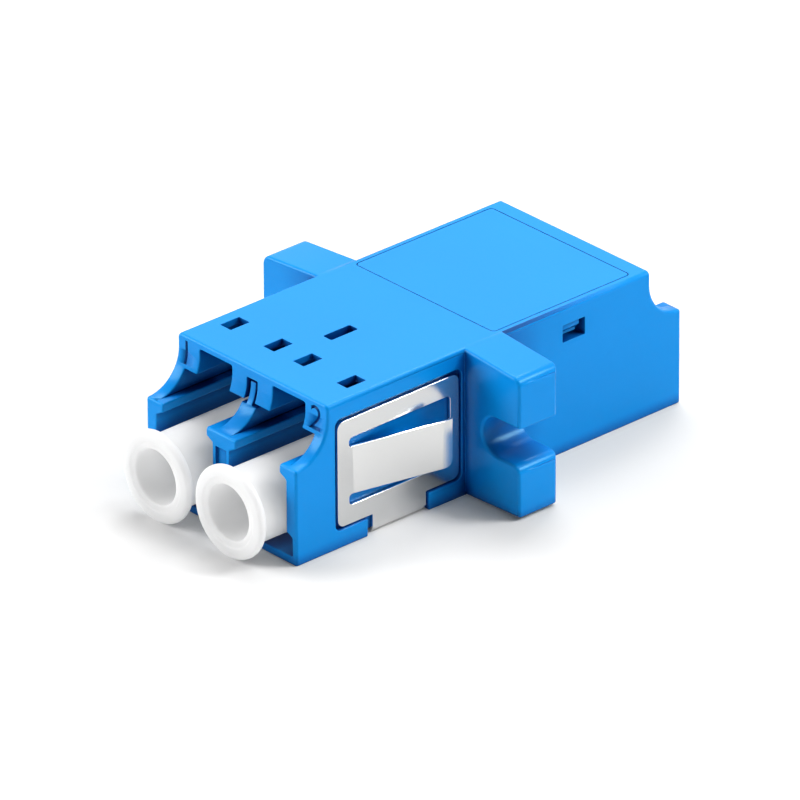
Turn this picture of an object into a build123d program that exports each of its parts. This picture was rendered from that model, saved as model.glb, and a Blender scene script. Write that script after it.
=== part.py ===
from build123d import *

import os
from math import radians, sin, tan

# Frame: x across the two ports, y from the dust plugs to the rear, z up.
# The panel face of the flange is y = 0, and the housing rests on z = 0.

# Housing outline
SIDE_WALL = 0.875
BODY_HEIGHT = 9.4
COUPLING_Y = 2.01
NOSE_REACH = 15.06
NOSE_OVERHANG = 2.45
LEDGE_Z = 6.1
END_ARC_R = 2.4
LONG_EDGE_R = 0.3
END_EDGE_R = 0.18

# Flange with its two open screw notches
FLANGE_WIDTH = 22.0
FLANGE_THICKNESS = 3.06
EAR_ROOT_DROP = 0.004
EAR_TIP_TOP_DROP = 0.34
EAR_TIP_FOOT_RISE = 0.2
NOTCH_SPACING = 18.1
NOTCH_R = 1.21
NOTCH_Z = 4.68
EAR_CORNER_R = 0.62
EAR_REAR_R = 0.35
EAR_FACE_R = 0.2

# Ports and latch channels, the same at both ends
PORT_PITCH = 6.25
PORT_Z = 2.95
PORT_WIDTH = 4.86
FLOOR_THICKNESS = 0.52
RAIL_GAP = 3.76
RAIL_THICKNESS = 0.54
RAIL_BEVEL_HEIGHT = 0.3
ROOF_THICKNESS = 0.43
CENTRE_WALL = 1.24
CENTRE_WALL_SETBACK = 0.1
WALL_TIP_WIDTH = 0.46
WALL_TIP_GAP = 0.2
WALL_SHOULDER_DROP = 0.2
WEB_PANEL_WIDTH = 0.9
WEB_PANEL_DEPTH = 0.18
WEB_PANEL_MARGIN = 0.4
CORNER_RELIEF_WIDTH = 0.5
CORNER_RELIEF_HEIGHT = 1.2
CORNER_RELIEF_SLOPE = 0.22
CORNER_RELIEF_DEPTH = 2.6

# Latch catches and the windows behind them
CATCH_GAP = 2.75
CATCH_DROP = 1.98
CATCH_DEPTH = 2.42
GROOVE_WIDTH = 0.9
GROOVE_COVER = 0.65
GROOVE_DEPTH = 0.8
WINDOW_WIDTH = 0.91
WINDOW_LENGTH = 1.44
WINDOW_OFFSET = 1.85
SLOT_WIDTH = 0.72
SLOT_LENGTH = 2.06
SLOT_Y = -3.78
SLOT_DEPTH = 2.6

# Partition and holder bay at the middle
PARTITION_THICKNESS = 1.0
PLATE_THICKNESS = 1.2
BAY_DROP_LENGTH = 2.1
HOLDER_GAP = 0.05

# Sleeve holder halves and split sleeves
TUBE_REACH = 3.9
TUBE_R = 1.62
TUBE_LIP = 0.45
FERRULE_ENTRY_R = 0.66
ENTRY_MOUTH_R = 0.95
PLATE_HEAD_ROOM = 0.6
PLATE_CORNER_R = 0.2
SLEEVE_BORE_R = 0.625
SLEEVE_R = 0.81
SLEEVE_SLIT = 0.3
SLEEVE_GAP = 0.06
TUBE_HOLE_GAP = 0.12

# Rear cover: a lid with a locking rib, a front lip and two hooks
COVER_SIDE_MARGIN = 0.5
COVER_Y = 2.67
COVER_END_MARGIN = 1.12
COVER_GAP = 0.05
COVER_CORNER_R = 0.3
RIB_FOOT_GAP = 0.3
LIP_REACH = 0.65
LIP_THICKNESS = 0.4
LIP_INSET = 1.0
HOOK_WINDOW_Y = 7.68
HOOK_WINDOW_LENGTH = 1.73
HOOK_WINDOW_DROP = 2.26
HOOK_WINDOW_HEIGHT = 1.11
HOOK_LENGTH = 1.42
HOOK_HEIGHT = 0.7
HOOK_SHY = 0.22

# Panel clip: one folded sheet with a sprung tongue on each side
SHEET = 0.2
RECESS_Y = -10.02
RECESS_LENGTH = 9.77
RECESS_Z = 1.13
RECESS_HEAD = 1.1
RECESS_DEPTH = 0.38
RECESS_CORNER_R = 0.45
CLIP_MARGIN_FRONT = 0.31
CLIP_MARGIN_REAR = 0.08
CLIP_MARGIN_FOOT = 0.07
CLIP_MARGIN_TOP = 0.35
CLIP_SEAT_GAP = 0.03
CLIP_CORNER_R = 0.5
CLIP_FRONT_STRIP = 0.89
CLIP_REAR_STRIP = 0.69
CLIP_FOOT_STRIP = 1.2
CLIP_TOP_STRIP = 1.23
CLIP_WINDOW_R = 0.28
PANEL_GAP = 2.02
TONGUE_WIDTH = 3.04
TONGUE_ROOT = 0.3
TONGUE_ROOT_R = 0.22
TONGUE_FOOT_SLOT = 0.68
TONGUE_FLARE_DEG = 12.6
TONGUE_TIP = 0.73
TONGUE_TIP_DEG = 2.5
TONGUE_BEND_R = 0.5
TONGUE_CORNER_R = 0.45
LEG_Y = -7.04
LEG_WIDTH = 4.15
LEG_SLOT_FRONT_MARGIN = 0.5
LEG_SLOT_REAR_MARGIN = 0.05
STRAP_CHANNEL_DEPTH = 0.26
LEG_BEND_R = 0.32

# Dust plugs
PLUG_FLANGE_Y = -15.37
PLUG_FLANGE_R = 2.87
PLUG_FLANGE_THICKNESS = 0.55
PLUG_SHAFT_R = 2.3
PLUG_HOLE_R = 1.72
PLUG_HOLE_TAPER = 0.25
PLUG_HOLE_DEPTH = 8.6
PLUG_SOCKET_GAP = 0.06
PLUG_SOCKET_DEPTH = 4.6
PLUG_END_GAP = 0.35
PLUG_NECK = 0.2
PLUG_RIM_BEVEL = 0.15
PLUG_STEP = 0.06
PLUG_STEP_R = 2.2

# Worked out from the driving sizes
HALF_WIDTH = PORT_PITCH / 2 + PORT_WIDTH / 2 + SIDE_WALL
ROOF_REACH = NOSE_REACH - NOSE_OVERHANG
ROOF_UNDER = BODY_HEIGHT - ROOF_THICKNESS
FRONT_NOSE_Y = COUPLING_Y - NOSE_REACH
FRONT_ROOF_Y = COUPLING_Y - ROOF_REACH
BAY_FRONT_Y = COUPLING_Y - PLATE_THICKNESS - HOLDER_GAP
BAY_REAR_Y = COUPLING_Y + PLATE_THICKNESS + BAY_DROP_LENGTH
CATCH_BACK_Y = FRONT_ROOF_Y + CATCH_DEPTH
PORT_XS = (-PORT_PITCH / 2, PORT_PITCH / 2)
CAVITY_OUTER_X = PORT_PITCH / 2 + PORT_WIDTH / 2
CATCH_Z = BODY_HEIGHT - CATCH_DROP
GROOVE_Z = BODY_HEIGHT - GROOVE_COVER
COVER_HALF = HALF_WIDTH - COVER_SIDE_MARGIN
COVER_LENGTH = COUPLING_Y + ROOF_REACH - COVER_END_MARGIN - COVER_Y
HOOK_WINDOW_Z = BODY_HEIGHT - HOOK_WINDOW_DROP
RECESS_HEIGHT = BODY_HEIGHT - RECESS_HEAD - RECESS_Z
RECESS_FLOOR_X = HALF_WIDTH - RECESS_DEPTH
CLIP_Y = (RECESS_Y + CLIP_MARGIN_FRONT, RECESS_Y + RECESS_LENGTH - CLIP_MARGIN_REAR)
CLIP_Z = (RECESS_Z + CLIP_MARGIN_FOOT, RECESS_Z + RECESS_HEIGHT - CLIP_MARGIN_TOP)
CLIP_WINDOW_Y = (CLIP_Y[0] + CLIP_FRONT_STRIP, CLIP_Y[1] - CLIP_REAR_STRIP)
CLIP_WINDOW_Z = (CLIP_Z[0] + CLIP_FOOT_STRIP, CLIP_Z[1] - CLIP_TOP_STRIP)
TONGUE_Z = (CLIP_WINDOW_Z[0] + TONGUE_FOOT_SLOT, CLIP_WINDOW_Z[0] + TONGUE_FOOT_SLOT + TONGUE_WIDTH)
CLIP_OUTER_X = RECESS_FLOOR_X + CLIP_SEAT_GAP + SHEET
LEG_FOOT_Z = STRAP_CHANNEL_DEPTH - CLIP_SEAT_GAP - SHEET
TINY = 1e-4
PAST = 1.0
OVERLAP = 0.25

LOW = (Align.MIN, Align.MIN, Align.MIN)
SIDE_VIEW = Plane((0, 0, 0), x_dir=(0, 1, 0), z_dir=(1, 0, 0))
REAR_MIRROR = Plane((0, COUPLING_Y, 0), x_dir=(1, 0, 0), z_dir=(0, 1, 0))


def span_box(x, y, z):
    """A box between two limits on each axis."""
    return Pos(x[0], y[0], z[0]) * Box(x[1] - x[0], y[1] - y[0], z[1] - z[0], align=LOW)


def along_y(sketch, start, end):
    """Extrude a sketch drawn in x and z from one y to another."""
    plane = Plane((0, start, 0), x_dir=(1, 0, 0), z_dir=(0, -1, 0))
    return extrude(plane * sketch, amount=start - end)


def along_x(sketch, start, end):
    """Extrude a sketch drawn in y and z from one x to another."""
    return Pos(start, 0, 0) * extrude(SIDE_VIEW * sketch, amount=end - start)


def both_ends(tool):
    """A front-end feature together with its mirror image at the rear end."""
    return [tool, mirror(tool, about=REAR_MIRROR)]


def both_sides(tool):
    """A right-hand feature together with its mirror image on the left."""
    return [tool, mirror(tool, about=Plane.YZ)]


def side_profile(reach_shift=0.0):
    """The housing seen from the side: a long base, a shorter roof and concave ends."""
    base = Rectangle(2 * NOSE_REACH, LEDGE_Z, align=(Align.CENTER, Align.MIN))
    roof = Rectangle(2 * ROOF_REACH, BODY_HEIGHT, align=(Align.CENTER, Align.MIN))
    outline = base + roof
    corners = outline.vertices().filter_by_position(Axis.Y, TINY, BODY_HEIGHT - TINY)
    inner = [v for v in corners if abs(v.X) < NOSE_REACH - TINY]
    arc = min(END_ARC_R, BODY_HEIGHT - LEDGE_Z - END_EDGE_R)
    return Pos(COUPLING_Y + reach_shift, 0) * fillet(inner, arc)


def body_shell():
    """The plain body block and its ears, with rounded long edges and softened ends."""
    body = along_x(side_profile(), -HALF_WIDTH, HALF_WIDTH)
    long_top = body.edges().filter_by(Axis.Y).filter_by(lambda e: e.center().Z > BODY_HEIGHT - TINY)
    body = fillet(long_top, LONG_EDGE_R)
    cross_edges = body.edges().filter_by(Axis.X).filter_by(is_end_edge)
    return fillet(body.edges().filter_by(is_end_rim) + cross_edges, END_EDGE_R) + both_sides(ear())


def is_end_rim(edge):
    """True for the upright and curved edges of the body's side faces at its ends."""
    centre = edge.center()
    at_end = abs(centre.Y - COUPLING_Y) > ROOF_REACH - TINY and centre.Z > TINY
    return at_end and abs(abs(centre.X) - HALF_WIDTH) < TINY


def is_end_edge(edge):
    """True for the edges across the body where its roof and its noses end."""
    centre = edge.center()
    at_nose = abs(abs(centre.Y - COUPLING_Y) - NOSE_REACH) < TINY and centre.Z > TINY
    at_roof = abs(abs(centre.Y - COUPLING_Y) - ROOF_REACH) < TINY and centre.Z > BODY_HEIGHT - TINY
    return at_nose or at_roof


def ear():
    """The right-hand flange ear, which tapers to its tip and is notched from outside."""
    tip, root = FLANGE_WIDTH / 2, CAVITY_OUTER_X + OVERLAP
    outline = Polygon(
        (root, 0),
        (HALF_WIDTH, 0),
        (tip, EAR_TIP_FOOT_RISE),
        (tip, BODY_HEIGHT - EAR_TIP_TOP_DROP),
        (HALF_WIDTH, BODY_HEIGHT - EAR_ROOT_DROP),
        (root, BODY_HEIGHT - EAR_ROOT_DROP),
        align=None,
    )
    notch = Circle(NOTCH_R) + Rectangle(FLANGE_WIDTH, 2 * NOTCH_R, align=(Align.MIN, Align.CENTER))
    outline -= Pos(NOTCH_SPACING / 2, NOTCH_Z) * notch
    crown = [v for v in outline.vertices() if v.X > tip - TINY and rounded_at_tip(v.Y)]
    plan = span_box((root, tip), (0, FLANGE_THICKNESS), (-PAST, BODY_HEIGHT + PAST))
    rear_corner = plan.edges().filter_by(Axis.Z).sort_by(lambda e: e.center().X + e.center().Y)[-1]
    solid = along_y(fillet(crown, EAR_CORNER_R), 0, FLANGE_THICKNESS) & fillet(rear_corner, EAR_REAR_R)
    face = solid.faces().filter_by(Axis.Y).sort_by(Axis.Y)[0]
    front = [e for e in face.edges() if e.center().X > HALF_WIDTH + NOTCH_R]
    return fillet(front, EAR_FACE_R)


def rounded_at_tip(z):
    """True for the top corner of the ear and for the top corner of its lower block."""
    return z > BODY_HEIGHT - EAR_TIP_TOP_DROP - TINY or abs(z - (NOTCH_Z - NOTCH_R)) < TINY


def port_profile():
    """One port from the front: a square bore whose top is narrowed by two bevelled rails."""
    half, gap = PORT_WIDTH / 2, RAIL_GAP / 2
    under = LEDGE_Z - RAIL_THICKNESS
    right = [
        (half, FLOOR_THICKNESS),
        (half, under - RAIL_BEVEL_HEIGHT),
        (gap, under),
        (gap, LEDGE_Z + OVERLAP),
    ]
    return Polygon(*right, *[(-x, z) for x, z in reversed(right)], align=None)


def latch_profile(outer, inner, low, high):
    """A rectangle of the latch channel on the right-hand port, from one x to another."""
    return Pos((outer + inner) / 2, (low + high) / 2) * Rectangle(outer - inner, high - low)


def port_cuts(bay_y):
    """Both ports of the front end, from past the nose to the given y."""
    start = FRONT_NOSE_Y - PAST
    cuts = [along_y(Pos(x, 0) * port_profile(), start, bay_y) for x in PORT_XS]
    inner, outer = CENTRE_WALL / 2, CAVITY_OUTER_X
    centre, gap = PORT_PITCH / 2, CATCH_GAP / 2
    under = along_y(latch_profile(outer, inner, LEDGE_Z, CATCH_Z), start, bay_y)
    open_part = latch_profile(centre + gap, centre - gap, CATCH_Z - OVERLAP, ROOF_UNDER)
    between = along_y(open_part, start, CATCH_BACK_Y)
    behind = along_y(latch_profile(outer, inner, CATCH_Z - OVERLAP, ROOF_UNDER), CATCH_BACK_Y, bay_y)
    for tool in (under, between, behind):
        cuts += both_sides(tool)
    return cuts


def centre_wall_cut():
    """What sets the centre wall back, and the groove that frees its narrow tip from the catches."""
    y = (FRONT_NOSE_Y - PAST, FRONT_ROOF_Y + PAST)
    half, tip_half = CENTRE_WALL / 2, WALL_TIP_WIDTH / 2
    wall = span_box((-half, half), y, (LEDGE_Z, CATCH_Z))
    tip = span_box((-tip_half, tip_half), y, (CATCH_Z - WALL_SHOULDER_DROP, GROOVE_Z - WALL_TIP_GAP))
    groove = span_box((-GROOVE_WIDTH / 2, GROOVE_WIDTH / 2), y, (CATCH_Z - WALL_SHOULDER_DROP, GROOVE_Z))
    shoulders = span_box((-half, half), y, (CATCH_Z - WALL_SHOULDER_DROP, CATCH_Z))
    set_back = along_x(side_profile(CENTRE_WALL_SETBACK), -HALF_WIDTH, HALF_WIDTH)
    groove_back = along_x(side_profile(GROOVE_DEPTH), -HALF_WIDTH, HALF_WIDTH)
    return (wall + tip - set_back) + (groove + shoulders - tip - groove_back)


def web_panel_cut():
    """The shallow panel sunk in the front of the web between the ports."""
    x = (-WEB_PANEL_WIDTH / 2, WEB_PANEL_WIDTH / 2)
    z = (FLOOR_THICKNESS + WEB_PANEL_MARGIN, LEDGE_Z - RAIL_THICKNESS - WEB_PANEL_MARGIN)
    return span_box(x, (FRONT_NOSE_Y - PAST, FRONT_NOSE_Y + WEB_PANEL_DEPTH), z)


def corner_relief_cut():
    """The wider lower corner inside the right-hand port's mouth."""
    wall, low = CAVITY_OUTER_X - OVERLAP, FLOOR_THICKNESS
    far, top = CAVITY_OUTER_X + CORNER_RELIEF_WIDTH, FLOOR_THICKNESS + CORNER_RELIEF_HEIGHT
    points = [(wall, low), (far, low), (far, top), (CAVITY_OUTER_X, top + CORNER_RELIEF_SLOPE)]
    outline = Polygon(*points, (wall, top + CORNER_RELIEF_SLOPE), align=None)
    return along_y(outline, FRONT_NOSE_Y - PAST, FRONT_NOSE_Y + CORNER_RELIEF_DEPTH)


def catch_windows():
    """The four windows in the front roof, each right behind a latch catch."""
    window = Pos(0, CATCH_BACK_Y + WINDOW_LENGTH / 2, BODY_HEIGHT)
    window *= Box(WINDOW_WIDTH, WINDOW_LENGTH, 2 * (BODY_HEIGHT - CATCH_Z))
    return [Pos(x + side * WINDOW_OFFSET, 0, 0) * window for x in PORT_XS for side in (-1, 1)]


def middle_cuts():
    """The holder bay, the tube holes of the partition and the slot over the centre wall."""
    across = (-CAVITY_OUTER_X, CAVITY_OUTER_X)
    bay = span_box(across, (BAY_FRONT_Y, BAY_REAR_Y), (FLOOR_THICKNESS, ROOF_UNDER))
    hole = TUBE_R + TUBE_HOLE_GAP
    partition = (BAY_FRONT_Y - PARTITION_THICKNESS - OVERLAP, BAY_FRONT_Y + OVERLAP)
    holes = [along_y(Pos(x, PORT_Z) * Circle(hole), *partition) for x in PORT_XS]
    slot = Pos(0, SLOT_Y, BODY_HEIGHT) * Box(SLOT_WIDTH, SLOT_LENGTH, 2 * SLOT_DEPTH)
    return [bay, *holes, slot]


def cover_cuts():
    """The rebate for the rear cover, and its two hook windows with their arm grooves."""
    limits = (-COVER_HALF, COVER_HALF), (COVER_Y, COVER_Y + COVER_LENGTH)
    outline = Pos(0, 0, ROOF_UNDER) * rounded_span(*limits, COVER_CORNER_R)
    rebate = extrude(outline, amount=ROOF_THICKNESS + PAST)
    inside, y = CAVITY_OUTER_X - OVERLAP, (HOOK_WINDOW_Y, HOOK_WINDOW_Y + HOOK_WINDOW_LENGTH)
    z = (HOOK_WINDOW_Z, HOOK_WINDOW_Z + HOOK_WINDOW_HEIGHT)
    window = span_box((inside, HALF_WIDTH + PAST), y, z)
    groove = span_box((inside, COVER_HALF), y, (HOOK_WINDOW_Z, ROOF_UNDER + OVERLAP))
    return [rebate, *both_sides(window), *both_sides(groove)]


def clip_cuts():
    """The side recesses, the leg slots and the strap channel that the panel clip sits in."""
    limits = (RECESS_Y, RECESS_Y + RECESS_LENGTH), (RECESS_Z, RECESS_Z + RECESS_HEIGHT)
    recess = along_x(rounded_span(*limits, RECESS_CORNER_R), RECESS_FLOOR_X, HALF_WIDTH + PAST)
    y = (LEG_Y - LEG_SLOT_FRONT_MARGIN, LEG_Y + LEG_WIDTH + LEG_SLOT_REAR_MARGIN)
    slot = span_box((RECESS_FLOOR_X, HALF_WIDTH + PAST), y, (-PAST, RECESS_Z + RECESS_CORNER_R))
    channel = span_box((-HALF_WIDTH - PAST, HALF_WIDTH + PAST), y, (-PAST, STRAP_CHANNEL_DEPTH))
    return [*both_sides(recess), *both_sides(slot), channel]


def housing():
    """The moulded housing, in one piece with its flange."""
    solid = body_shell()
    front = port_cuts(BAY_FRONT_Y - PARTITION_THICKNESS)
    rear = [mirror(tool, about=REAR_MIRROR) for tool in port_cuts(2 * COUPLING_Y - BAY_REAR_Y)]
    ends = both_ends(centre_wall_cut()) + both_ends(web_panel_cut())
    for relief in both_sides(corner_relief_cut()):
        ends += both_ends(relief)
    for tool in (*front, *rear, *ends, *catch_windows(), *middle_cuts(), *cover_cuts(), *clip_cuts()):
        solid -= tool
    return solid


def rear_cover():
    """The lid over the rear half: plate, front lip, locking rib and two hooked arms."""
    x = (COVER_GAP - COVER_HALF, COVER_HALF - COVER_GAP)
    y = (COVER_Y + COVER_GAP, COVER_Y + COVER_LENGTH - COVER_GAP)
    plate = Pos(0, 0, ROOF_UNDER) * rounded_span(x, y, COVER_CORNER_R - COVER_GAP)
    solid = extrude(plate, amount=ROOF_THICKNESS)
    across = (LIP_INSET - CAVITY_OUTER_X, CAVITY_OUTER_X - LIP_INSET)
    lip_top, lip_end = ROOF_UNDER - COVER_GAP, y[0] + PLATE_THICKNESS
    lip_foot = lip_top - LIP_THICKNESS
    solid += span_box(across, (COVER_Y - LIP_REACH, lip_end), (lip_foot, lip_top))
    solid += span_box(across, (y[0], lip_end), (lip_foot, ROOF_UNDER + OVERLAP))
    solid += locking_rib()
    for arm in both_sides(hook_arm()):
        solid += arm
    return solid


def locking_rib():
    """The rib that holds the sleeve holder forward, open below each tube."""
    side = CAVITY_OUTER_X - HOLDER_GAP
    y = (COUPLING_Y + PLATE_THICKNESS + HOLDER_GAP, BAY_REAR_Y - HOLDER_GAP)
    low, high = FLOOR_THICKNESS + RIB_FOOT_GAP, ROOF_UNDER + OVERLAP
    rib = Pos(0, (low + high) / 2) * Rectangle(2 * side, high - low)
    for x in PORT_XS:
        hole = TUBE_R + TUBE_HOLE_GAP
        rib -= Pos(x, PORT_Z) * Circle(hole)
        rib -= Pos(x, PORT_Z) * Rectangle(2 * hole, PORT_Z + PAST, align=(Align.CENTER, Align.MAX))
    return along_y(rib, *y)


def hook_arm():
    """The right-hand arm of the cover, with the hook that shows in the side window."""
    y = HOOK_WINDOW_Y + COVER_GAP
    top = HOOK_WINDOW_Z + HOOK_WINDOW_HEIGHT - COVER_GAP
    inner, outer, hook = CAVITY_OUTER_X, COVER_HALF - COVER_GAP, HALF_WIDTH - HOOK_SHY
    profile = Polygon(
        (inner, ROOF_UNDER + OVERLAP),
        (inner, top - HOOK_HEIGHT),
        (outer, top - HOOK_HEIGHT),
        (hook, top - HOOK_HEIGHT + hook - outer),
        (hook, top),
        (outer, top),
        (outer, ROOF_UNDER + OVERLAP),
        align=None,
    )
    return along_y(profile, y, y + HOOK_LENGTH)


def holder_half():
    """The front half of the sleeve holder: a plate with two tubes, each with an end lip."""
    x = (HOLDER_GAP - CAVITY_OUTER_X, CAVITY_OUTER_X - HOLDER_GAP)
    z = (FLOOR_THICKNESS + HOLDER_GAP, ROOF_UNDER - PLATE_HEAD_ROOM)
    solid = along_y(rounded_span(x, z, PLATE_CORNER_R), COUPLING_Y - PLATE_THICKNESS, COUPLING_Y)
    tube_end = COUPLING_Y - TUBE_REACH
    entry = Rot(90, 0, 0) * Cone(FERRULE_ENTRY_R, ENTRY_MOUTH_R, TUBE_LIP)
    for x in PORT_XS:
        solid += along_y(Pos(x, PORT_Z) * Circle(TUBE_R), tube_end, COUPLING_Y)
    for x in PORT_XS:
        solid -= along_y(Pos(x, PORT_Z) * Circle(SLEEVE_R + SLEEVE_GAP), tube_end + TUBE_LIP, COUPLING_Y)
        solid -= Pos(x, tube_end + TUBE_LIP / 2, PORT_Z) * entry
    return solid


def split_sleeve(x):
    """The slit zirconia sleeve of one port, which lines up the two ferrules."""
    reach = TUBE_REACH - TUBE_LIP - SLEEVE_GAP
    ring = Circle(SLEEVE_R) - Circle(SLEEVE_BORE_R)
    ring -= Rectangle(SLEEVE_SLIT, SLEEVE_R + PAST, align=(Align.CENTER, Align.MIN))
    return along_y(Pos(x, PORT_Z) * ring, COUPLING_Y - reach, COUPLING_Y + reach)


def rounded_span(first, second, radius):
    """A rectangle between two limits each way, with rounded corners."""
    place = Pos(sum(first) / 2, sum(second) / 2)
    return fillet((place * Rectangle(first[1] - first[0], second[1] - second[0])).vertices(), radius)


def clip_side():
    """The right-hand side plate of the clip: a frame round two slots and the flared tongue."""
    root_y = (CLIP_WINDOW_Y[0] - SHEET, CLIP_WINDOW_Y[0] + TONGUE_ROOT)
    root = Pos(sum(root_y) / 2, sum(TONGUE_Z) / 2) * Rectangle(root_y[1] - root_y[0], TONGUE_WIDTH)
    slots = rounded_span(CLIP_WINDOW_Y, CLIP_WINDOW_Z, CLIP_WINDOW_R) - root
    by_root = slots.vertices().filter_by_position(Axis.X, CLIP_WINDOW_Y[0] - TINY, CLIP_WINDOW_Y[0] + TINY)
    ends = by_root.filter_by_position(Axis.Y, TONGUE_Z[0] - TINY, TONGUE_Z[1] + TINY)
    plate = rounded_span(CLIP_Y, CLIP_Z, CLIP_CORNER_R) - fillet(ends, TONGUE_ROOT_R)
    return along_x(plate, CLIP_OUTER_X - SHEET, CLIP_OUTER_X) + tongue()


def tongue():
    """The sprung tongue, bent out from the front of the frame towards the flange."""
    flare, tip = radians(TONGUE_FLARE_DEG), radians(TONGUE_TIP_DEG)
    root = Vector(CLIP_OUTER_X - SHEET / 2, CLIP_WINDOW_Y[0] - SHEET)
    bend = Vector(root.X, CLIP_WINDOW_Y[0] + TONGUE_ROOT)
    reach = -PANEL_GAP - TONGUE_TIP - bend.Y
    knee = bend + Vector(reach * tan(flare), reach)
    end = knee + Vector(TONGUE_TIP * sin(tip), TONGUE_TIP)
    path = FilletPolyline(root, bend, knee, end, radius=TONGUE_BEND_R)
    solid = extrude(Pos(0, 0, TONGUE_Z[0]) * trace(path, SHEET), amount=TONGUE_WIDTH)
    far = solid.faces().sort_by(Axis.Y)[-1]
    low = far.edges().filter_by(Axis.X, tolerance=TONGUE_TIP_DEG + TONGUE_FLARE_DEG).sort_by(Axis.Z)[0]
    return fillet(low, TONGUE_CORNER_R)


def clip_band():
    """The strap under the housing and the two legs that carry the side plates."""
    top = RECESS_Z + CLIP_CORNER_R
    bottom = Vector(CLIP_OUTER_X - SHEET / 2, LEG_FOOT_Z + SHEET / 2)
    path = FilletPolyline(
        (-bottom.X, top), (-bottom.X, bottom.Y), bottom, (bottom.X, top), radius=LEG_BEND_R - SHEET / 2
    )
    return along_y(trace(path, SHEET), LEG_Y, LEG_Y + LEG_WIDTH)


def panel_clip():
    """The folded clip that holds the adapter in a panel opening."""
    solid = clip_band()
    for side in both_sides(clip_side()):
        solid += side
    return solid


def dust_plug(x):
    """One dust plug: a flanged tube, blind in front, that slips over the holder's tube."""
    inner_end = BAY_FRONT_Y - PARTITION_THICKNESS - PLUG_END_GAP
    mouth, back = PLUG_FLANGE_Y, PLUG_FLANGE_Y + PLUG_FLANGE_THICKNESS
    flange = along_y(Circle(PLUG_FLANGE_R), mouth, back)
    flange = chamfer(flange.edges().filter_by(GeomType.CIRCLE), PLUG_RIM_BEVEL)
    solid = flange + along_y(Circle(PLUG_SHAFT_R), (mouth + back) / 2, inner_end)
    neck = [e for e in solid.edges().filter_by(GeomType.CIRCLE) if is_ring(e, back, PLUG_SHAFT_R)]
    solid = chamfer(neck, PLUG_NECK)
    solid -= along_y(Circle(PLUG_STEP_R), mouth, mouth + PLUG_STEP)
    hole = Cone(PLUG_HOLE_R - PLUG_HOLE_TAPER, PLUG_HOLE_R, PLUG_HOLE_DEPTH)
    solid -= Pos(0, mouth + PLUG_HOLE_DEPTH / 2, 0) * Rot(90, 0, 0) * hole
    solid -= along_y(Circle(TUBE_R + PLUG_SOCKET_GAP), inner_end - PLUG_SOCKET_DEPTH, inner_end)
    return Pos(x, 0, PORT_Z) * solid


def is_ring(edge, y, radius):
    """True for a circular edge at this y and of this radius."""
    return abs(edge.center().Y - y) < TINY and abs(edge.radius - radius) < TINY


def write(name, shape):
    """Write one node as a STEP file."""
    export_step(shape, f"parts/{name}.step")


os.makedirs("parts", exist_ok=True)
front_half = holder_half()
write("housing", housing())
write("rear_cover", rear_cover())
write("sleeve_holder_front", front_half)
write("sleeve_holder_rear", mirror(front_half, about=REAR_MIRROR))
write("panel_clip", panel_clip())
for side_name, port_x in zip(("left", "right"), PORT_XS):
    write(f"split_sleeve_{side_name}", split_sleeve(port_x))
    write(f"dust_plug_{side_name}", dust_plug(port_x))
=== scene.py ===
"""A fibre adapter in a white studio: finishes, softened edges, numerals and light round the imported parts."""

import logging
import math
from collections.abc import Iterable
from dataclasses import dataclass
from enum import Enum
from functools import cache

import bmesh
import bpy
from mathutils import Matrix, Vector


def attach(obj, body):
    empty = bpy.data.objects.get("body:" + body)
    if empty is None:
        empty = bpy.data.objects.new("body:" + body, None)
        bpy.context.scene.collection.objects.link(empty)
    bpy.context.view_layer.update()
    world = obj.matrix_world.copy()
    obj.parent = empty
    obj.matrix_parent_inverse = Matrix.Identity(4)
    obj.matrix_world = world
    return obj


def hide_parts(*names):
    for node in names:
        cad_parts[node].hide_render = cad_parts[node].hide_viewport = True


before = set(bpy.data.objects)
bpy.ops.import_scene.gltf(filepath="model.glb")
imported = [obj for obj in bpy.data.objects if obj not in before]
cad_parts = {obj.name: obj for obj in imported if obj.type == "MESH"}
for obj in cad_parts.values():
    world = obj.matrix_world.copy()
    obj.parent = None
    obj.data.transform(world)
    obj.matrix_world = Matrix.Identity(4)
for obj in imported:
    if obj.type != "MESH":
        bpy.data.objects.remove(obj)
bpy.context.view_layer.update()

MM = 0.001
LOG = logging.getLogger("adapter")

WHITE = (1.0, 1.0, 1.0, 1.0)

# What a node's input takes: a plain value, a data-block, or the output socket that feeds it
Feed = bpy.types.NodeSocket | bpy.types.ID | tuple[float, ...] | float

# A Mix node's colour sockets share their names with its other sockets, so they go by number
MIX_COLOURS = (6, 7)
MIX_RESULT = 2

# The band that holds nearly all of a noise texture's values
NOISE_BAND = (0.3, 0.7)

OCCLUSION_SAMPLES = 6


class Slot(Enum):
    """The record's material slots."""

    BLUE = "blue_plastic"
    WHITE = "white_plug"
    STEEL = "clip_steel"
    CERAMIC = "zirconia"


class Body(Enum):
    """The bodies that pieces ride on."""

    ADAPTER = "adapter"
    LEFT_PLUG = "left_plug"
    RIGHT_PLUG = "right_plug"


class Side(Enum):
    """Left and right as seen from the plugged end, with the sign of x."""

    LEFT = -1
    RIGHT = 1

    @property
    def word(self) -> str:
        """The side's name as node names spell it."""
        return self.name.lower()


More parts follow.
